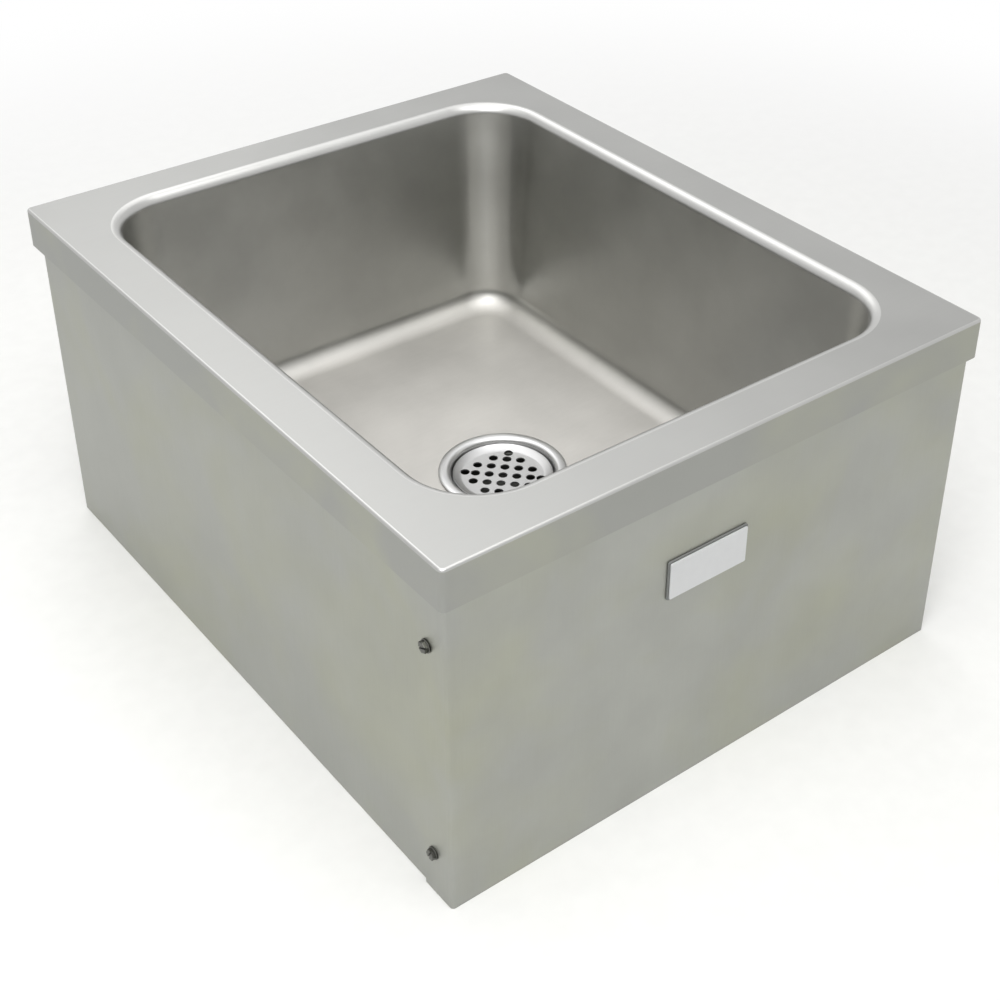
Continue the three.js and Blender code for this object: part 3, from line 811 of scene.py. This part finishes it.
class SINK_OT_skirt(bpy.types.Operator):
    """Folds the front access panel and the wrapper that makes the other three sides"""

    bl_idname = "sink.skirt"
    bl_label = "Skirt"

    def execute(self, context):
        size, colour = sizes(), colours()
        # Mill finish, with its grain upright: the dullest sheet, with patches and warm tarnish
        steel = satin_steel(
            "satin_304_skirt", colour.skirt, colour.tarnish, lines=(1500, 1500, 25),
            roughness=0.44, spread=0.03, blotch=0.05, wave=0.6 * MM,
        )

        panel = folded_channel("front_panel", PANEL_LOW, PANEL_HIGH, 1, size.panel_bend, {})
        # The foot flange runs between the front posts and clears each by 0.5 mm
        half_foot = -POST_HIGH.x - 0.5 * MM
        edit(panel)
        for end in (-half_foot, half_foot):
            bpy.ops.mesh.select_all(action="SELECT")
            bpy.ops.mesh.bisect(plane_co=(end, 0, 0), plane_no=(1, 0, 0))
        pick(panel, "edges", lambda edge: all(
            vert.co.z < PANEL_LOW.z + CLOSE and abs(vert.co.x) < half_foot + CLOSE
            for vert in edge.verts
        ))
        bpy.ops.mesh.extrude_edges_move(
            TRANSFORM_OT_translate={"value": (0, size.foot_flange, 0)},
        )
        thicken(panel, size.sheet)
        smooth(panel)
        dress(panel, steel, "sink", "skirt_steel", "front_access_panel")

        wrapper = folded_channel(
            "skirt_sheet", WRAPPER_LOW, WRAPPER_HIGH, -1, size.panel_bend,
            {1: size.top_flange, -1: size.foot_flange},
        )
        thicken(wrapper, size.sheet)
        smooth(wrapper)
        dress(wrapper, steel, "sink", "skirt_steel", "skirt_wrapper")
        return {"FINISHED"}


# ---------------------------------------------------------------- screws and plate


class SINK_OT_screws(bpy.types.Operator):
    """Turns one slotted hex washer-head screw and copies it to all four places"""

    bl_idname = "sink.screws"
    bl_label = "Panel screws"

    def execute(self, context):
        # Radii of the thread's crest, the washer and the hexagon's corners
        shank, washer, head = 2.4 * MM, 5.2 * MM, 4.5 * MM
        washer_rise, head_rise, length, tip = 1 * MM, 2.6 * MM, 13 * MM, 3 * MM
        pitch, root, turns = 1.4 * MM, 0.45 * MM, 6
        slot_width, slot_length, slot_depth = 1.3 * MM, 12 * MM, 1.2 * MM
        # The head sinks a little into the washer, so that the two join
        overlap = 0.2 * MM
        thread = []
        for turn in range(turns):
            foot = tip - length + turn * pitch
            thread += [(shank - root, foot), (shank, foot + pitch / 2)]
        section = [
            (0, -length), *thread, (shank - root, -0.8 * MM), (shank - root, 0),
            (washer - 0.3 * MM, 0), (washer, 0.25 * MM), (washer, 0.6 * MM),
            (washer - 0.5 * MM, washer_rise), (0, washer_rise),
        ]
        screw = turned_piece("screw_shape", section, (0, 0), 36)
        hexagon = new_piece(
            "hexagon", bpy.ops.mesh.primitive_cylinder_add, vertices=6, radius=head,
            depth=head_rise + overlap,
            location=(0, 0, washer_rise + (head_rise - overlap) / 2),
        )
        edit(hexagon)
        top = washer_rise + head_rise
        pick(hexagon, "edges", lambda edge: all(vert.co.z > top - CLOSE for vert in edge.verts))
        bpy.ops.mesh.bevel(offset=0.5 * MM, segments=3, affect="EDGES")
        slot = new_piece(
            "slot", bpy.ops.mesh.primitive_cube_add, size=1,
            location=(0, 0, top), scale=(slot_width, slot_length, 2 * slot_depth),
        )
        for tool, operation in ((hexagon, "UNION"), (slot, "DIFFERENCE")):
            apply_modifier(
                screw, "BOOLEAN", object=tool, operation=operation, solver="EXACT",
            )
            bpy.data.objects.remove(tool)
        merge_close(screw)
        smooth(screw, 35)
        # Old zinc plating: dark and speckled, with small glints on its edges
        steel = plain_finish(
            "zinc_plated_screw_steel", colours().screw, metallic=1, roughness=0.34, grit=0.8,
            depth=0.02 * MM, variation=0.12,
        )
        for number, (side, level) in enumerate(
            (side, level) for side in ("left", "right") for level in ("upper", "lower")
        ):
            node = f"screw_{side}_{level}"
            low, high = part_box(node)
            sign = -1 if side == "left" else 1
            copy = screw.copy()
            copy.data = screw.data.copy()
            copy.name = copy.data.name = f"hex_{node}"
            context.collection.objects.link(copy)
            outer = low.x if sign < 0 else high.x
            # Each screw came to rest with its slot at another angle
            turn = Matrix.Rotation(math.radians(25 + 40 * number), 4, "Z")
            lie = Matrix.Rotation(sign * math.pi / 2, 4, "Y")
            centre = (low + high) / 2
            place = Matrix.Translation((outer - sign * top, centre.y, centre.z))
            copy.matrix_world = place @ lie @ turn
            settle(copy)
            dress(copy, steel, "sink", "screw_steel", node)
        bpy.data.objects.remove(screw)
        return {"FINISHED"}


def wall_plate(name, low, high, corner, easing):
    """A flat plate on the front face, with rounded corners and an eased front edge."""
    piece = new_piece(
        name, bpy.ops.mesh.primitive_cube_add, size=1, location=(low + high) / 2,
        scale=high - low,
    )
    edit(piece)
    pick(piece, "edges", lambda edge: abs(edge.verts[0].co.y - edge.verts[1].co.y) > CLOSE)
    bpy.ops.mesh.bevel(offset=corner, segments=8, profile=0.5, affect="EDGES")
    pick(piece, "edges", lambda edge: all(vert.co.y < low.y + CLOSE for vert in edge.verts))
    bpy.ops.mesh.bevel(offset=easing, segments=3, profile=0.5, affect="EDGES")
    smooth(piece)
    return piece


class SINK_OT_plate(bpy.types.Operator):
    """Makes the blank rating plate and the foam pad that it sticks to"""

    bl_idname = "sink.plate"
    bl_label = "Rating plate"

    def execute(self, context):
        pad = wall_plate("plate_pad", BACKING_LOW, BACKING_HIGH, 1.6 * MM, 0.3 * MM)
        # Cut foam tape: matt, with open cells along its edge
        foam = plain_finish(
            "grey_foam_pad", colours().pad, metallic=0, roughness=0.8, grit=0.6,
            depth=0.05 * MM, variation=0.2,
        )
        dress(pad, foam, "sink", "pad_black", "label_backing")
        plate = wall_plate("blank_plate", PLATE_LOW, PLATE_HIGH, 1.4 * MM, 0.35 * MM)
        # Lacquered satin aluminium: pale, nearly even, with a soft sheen
        foil = plain_finish(
            "satin_aluminium_plate", colours().plate, metallic=0.3, roughness=0.4, grit=9,
            depth=0, variation=0.015,
        )
        dress(plate, foil, "sink", "plate_face", "label_plate")
        return {"FINISHED"}


# ---------------------------------------------------------------- drain


def drain_centre():
    """Where the drain's upright axis stands."""
    return ((DRAIN_LOW.x + DRAIN_HIGH.x) / 2, 0)


class SINK_OT_drain(bpy.types.Operator):
    """Turns the drain body: a rounded flange, a ledge, a cup and the outlet spout"""

    bl_idname = "sink.drain"
    bl_label = "Drain body"

    def execute(self, context):
        # Radius and height above the drain seat, in millimetres, of each point of the section:
        # the flange from its foot over the lip, the ledge, the cup, the spout and the outside
        profile = [
            (45.5, 0.3), (54.6, 0.3), (55.2, 0.55), (55.5, 1.1), (55.4, 1.6), (54.9, 2.1),
            (54.0, 2.5), (52.6, 2.72), (51.0, 2.8), (49.2, 2.75), (47.8, 2.5),
            (46.8, 2.0), (46.1, 1.3), (45.6, 0.4), (45.0, -1.5), (43.8, -5.4),
            (43.4, -5.85), (42.9, -6.0), (39.5, -6.0), (38.9, -6.25), (37.4, -7.8),
            (37.0, -8.4), (33.4, -24.5), (32.4, -27.5), (31.0, -30.5), (28.5, -32.6),
            (25.0, -33.9), (22.5, -34.4), (21.2, -35.0), (20.5, -36.2), (20.5, -56.0),
            (23.5, -56.0), (23.5, -38.0), (24.2, -36.8), (25.5, -36.0), (29.5, -35.4),
            (34.0, -33.9), (37.0, -31.5), (40.2, -28.6), (41.0, -28.0), (44.9, -26.4),
            (45.5, -25.8), (45.5, 0.3),
        ]
        section = [(radius * MM, DRAIN_SEAT + height * MM) for radius, height in profile]
        cup_top = DRAIN_SEAT - 6.1 * MM
        body = turned_piece("drain_flange_and_cup", section, drain_centre(), 96)
        smooth(body, 32)
        colour = colours()
        # Turned and polished: the palest steel, with a bright ring of light on its lip
        steel = satin_steel(
            "polished_304_drain", colour.drain, lines=(3000, 3000, 3000), roughness=0.36,
            relief=0,
        )
        dress(body, steel, "sink", "drain_steel", "drain_body")
        # Painted shade: dark, dull steel below the strainer, so that the strainer's holes read as
        # black
        shaded = plain_finish(
            "water_stained_drain_cup", colour.cup, metallic=1, roughness=0.6, grit=3,
            depth=0.02 * MM, variation=0.15,
        )
        second_finish(body, shaded, lambda face: face.calc_center_median().z < cup_top)
        return {"FINISHED"}


class SINK_OT_strainer(bpy.types.Operator):
    """Punches the strainer plate, its square grid of holes turned to the diagonal"""

    bl_idname = "sink.strainer"
    bl_label = "Strainer plate"

    def execute(self, context):
        pitch, hole = 12 * MM, 4 * MM
        # In pitches: how far the grid reaches, and where the four holes past its ends are
        reach, end = 2.3, 2.75
        radius = (STRAINER_HIGH.x - STRAINER_LOW.x) / 2
        x, y = drain_centre()
        foot, thickness = STRAINER_LOW.z, STRAINER_HIGH.z - STRAINER_LOW.z
        # The margin curves up round a flat middle, gently at first
        margin, lip, curve, steps = 8 * MM, 3.2 * MM, 1.4, 8
        rise = [
            (radius - margin + margin * step / steps, foot + lip * (step / steps) ** curve)
            for step in range(steps + 1)
        ]
        top = [(across, height + thickness) for across, height in reversed(rise)]
        section = [
            (0, foot), *rise[:-1], (radius - 0.3 * MM, rise[-1][1]),
            (radius, rise[-1][1] + 0.4 * MM), (radius, top[0][1] - 0.4 * MM),
            (radius - 0.4 * MM, top[0][1]), *top[1:], (0, foot + thickness),
        ]
        plate = turned_piece("perforated_strainer", section, (x, y), 96)
        middle = foot + thickness / 2
        places = [
            (row * pitch, column * pitch) for row in range(-2, 3) for column in range(-2, 3)
            if math.hypot(row, column) < reach
        ]
        places += [(end * pitch, 0), (-end * pitch, 0), (0, end * pitch), (0, -end * pitch)]
        punch = None
        for place in places:
            spot = Matrix.Rotation(math.pi / 4, 2) @ Vector(place)
            tool = new_piece(
                "punch", bpy.ops.mesh.primitive_cylinder_add, vertices=24, radius=hole,
                depth=8 * MM, location=(x + spot.x, y + spot.y, middle),
            )
            if punch is None:
                punch = tool
                continue
            leave_edit_mode()
            tool.select_set(True)
            punch.select_set(True)
            bpy.context.view_layer.objects.active = punch
            bpy.ops.object.join()
        apply_modifier(plate, "BOOLEAN", object=punch, operation="DIFFERENCE", solver="EXACT")
        bpy.data.objects.remove(punch)
        apply_modifier(
            plate, "BEVEL", width=0.25 * MM, segments=2, limit_method="ANGLE",
            angle_limit=math.radians(60),
        )
        merge_close(plate)
        smooth(plate, 35)
        colour = colours()
        # Pressed plate, rubbed dull by mops: an even grey sheen
        steel = satin_steel(
            "satin_304_strainer", colour.strainer, lines=(200, 1500, 200), roughness=0.42,
            spread=0.03, relief=0.001 * MM,
        )
        dress(plate, steel, "strainer", "drain_steel", "strainer_plate")
        return {"FINISHED"}


# ---------------------------------------------------------------- hidden parts


class SINK_OT_hidden(bpy.types.Operator):
    """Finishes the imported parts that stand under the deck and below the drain"""

    bl_idname = "sink.hidden"
    bl_label = "Hidden parts"

    def execute(self, context):
        colour = colours()
        # Zinc coat: grey, in pale and dark crystals about 9 mm across
        zinc = plain_finish(
            "galvanised_steel", colour.frame, metallic=1, roughness=0.5, grit=9,
            depth=0.01 * MM, variation=0.12,
        )
        # Moulded rubber: black and matt, with a fine grain
        rubber = plain_finish(
            "moulded_rubber", colour.rubber, metallic=0, roughness=0.75, grit=0.8,
            depth=0.03 * MM, variation=0.2,
        )
        # Pressed fibre: brown card with a rough face
        fibre = plain_finish(
            "pressed_fibre", colour.fibre, metallic=0, roughness=0.9, grit=0.5,
            depth=0.05 * MM, variation=0.15,
        )
        # Cast brass: yellow, with the slight bumps of the mould
        brass = plain_finish(
            "cast_brass", colour.brass, metallic=1, roughness=0.38, grit=1.2,
            depth=0.03 * MM, variation=0.08,
        )
        finishes = {
            zinc: [
                "post_front_left", "post_front_right", "post_back_right", "post_back_left",
                "front_rail",
            ],
            rubber: ["drain_gasket", "tailpiece_washer"],
            fibre: ["friction_ring"],
            brass: ["drain_locknut", "coupling_nut", "tailpiece"],
        }
        for material, names in finishes.items():
            for name in names:
                slots = frame["nodes"][name].data.materials
                slots.clear()
                slots.append(material)
        return {"FINISHED"}


# ---------------------------------------------------------------- studio


LAMP_DISTANCE = 2.2
SINK_MIDDLE = Vector((0, 0, 0.15))


def add_lamp(name, bearing, height, size, power):
    """A square area lamp that faces the middle of the sink, at two angles in degrees.

    The bearing is from +Y towards +X, and the height is above the floor.
    """
    turn, lift = math.radians(bearing), math.radians(height)
    away = Vector((
        math.sin(turn) * math.cos(lift), math.cos(turn) * math.cos(lift), math.sin(lift),
    ))
    leave_edit_mode()
    bpy.ops.object.light_add(
        type="AREA", location=SINK_MIDDLE + LAMP_DISTANCE * away,
        rotation=away.to_track_quat("Z", "Y").to_euler(),
    )
    lamp = bpy.context.active_object
    lamp.name = name
    lamp.data.name = name
    lamp.data.energy = power
    lamp.data.size = size


class SINK_OT_studio(bpy.types.Operator):
    """Sets up the pale floor, the sky, the lamps and the camera"""

    bl_idname = "sink.studio"
    bl_label = "Studio"

    def execute(self, context):
        scene = context.scene
        settings = scene.sink_studio
        leave_edit_mode()
        # The paper lies a hair below the foot, so that the two don't flicker
        bpy.ops.mesh.primitive_plane_add(size=30, location=(0, 0, -0.2 * MM))
        floor = context.active_object
        floor.name = "studio_floor"
        floor.data.materials.append(studio_paper(colours().floor, settings.glow))

        world = bpy.data.worlds.new("studio_sky")
        world.use_nodes = True
        tree = world.node_tree
        background = tree.nodes["Background"]
        background.inputs["Color"].default_value = (1, 1, 1, 1)
        tree.links.new(backdrop_strength(tree, settings.sky), background.inputs["Strength"])
        scene.world = world

        add_lamp("overhead_lamp", 200, 72, 2.0, settings.overhead)
        add_lamp("front_lamp", 225, 45, 1.2, settings.front)
        add_lamp("back_high_lamp", 30, 60, 1.6, settings.back_high)
        add_lamp("back_low_lamp", 5, 45, 1.4, settings.back_low)
        add_lamp("left_lamp", 295, 60, 1.6, settings.left)

        # The place, turn, lens and shift were fitted to the outline in the photograph
        leave_edit_mode()
        bpy.ops.object.camera_add(
            location=(-0.6879, -0.9552, 0.9430),
            rotation=[math.radians(angle) for angle in (57.513, -0.917, -38.460)],
        )
        camera = context.active_object
        camera.name = "photo_camera"
        camera.data.sensor_width = 36
        camera.data.lens = settings.lens
        camera.data.shift_x = -0.065
        camera.data.shift_y = -0.12
        camera.data.clip_start = 0.02
        scene.camera = camera
        scene.view_settings.view_transform = "Standard"
        return {"FINISHED"}


# ---------------------------------------------------------------- add-on


class SINK_PT_tools(bpy.types.Panel):
    """Lists the operators in the order in which the sink is built"""

    bl_idname = "SINK_PT_tools"
    bl_label = "Mop sink"
    bl_space_type = "VIEW_3D"
    bl_region_type = "UI"
    bl_category = "Mop sink"

    def draw(self, context):
        for operator in BUILD_ORDER:
            self.layout.operator(operator.bl_idname)


SETTINGS = {
    "sink_sizes": SinkSizes,
    "sink_colours": SinkColours,
    "sink_studio": StudioSettings,
}
BUILD_ORDER = (
    SINK_OT_deck,
    SINK_OT_bowl,
    SINK_OT_skirt,
    SINK_OT_screws,
    SINK_OT_plate,
    SINK_OT_drain,
    SINK_OT_strainer,
    SINK_OT_hidden,
    SINK_OT_studio,
)


def register():
    for group in (*SETTINGS.values(), *BUILD_ORDER, SINK_PT_tools):
        bpy.utils.register_class(group)
    for name, group in SETTINGS.items():
        setattr(bpy.types.Scene, name, bpy.props.PointerProperty(type=group))


def unregister():
    for name in SETTINGS:
        delattr(bpy.types.Scene, name)
    for group in (SINK_PT_tools, *reversed(BUILD_ORDER), *reversed(SETTINGS.values())):
        bpy.utils.unregister_class(group)


def main():
    """Builds the whole scene."""
    register()
    bpy.ops.sink.deck()
    bpy.ops.sink.bowl()
    bpy.ops.sink.skirt()
    bpy.ops.sink.screws()
    bpy.ops.sink.plate()
    bpy.ops.sink.drain()
    bpy.ops.sink.strainer()
    bpy.ops.sink.hidden()
    bpy.ops.sink.studio()


if __name__ == "__main__":
    main()
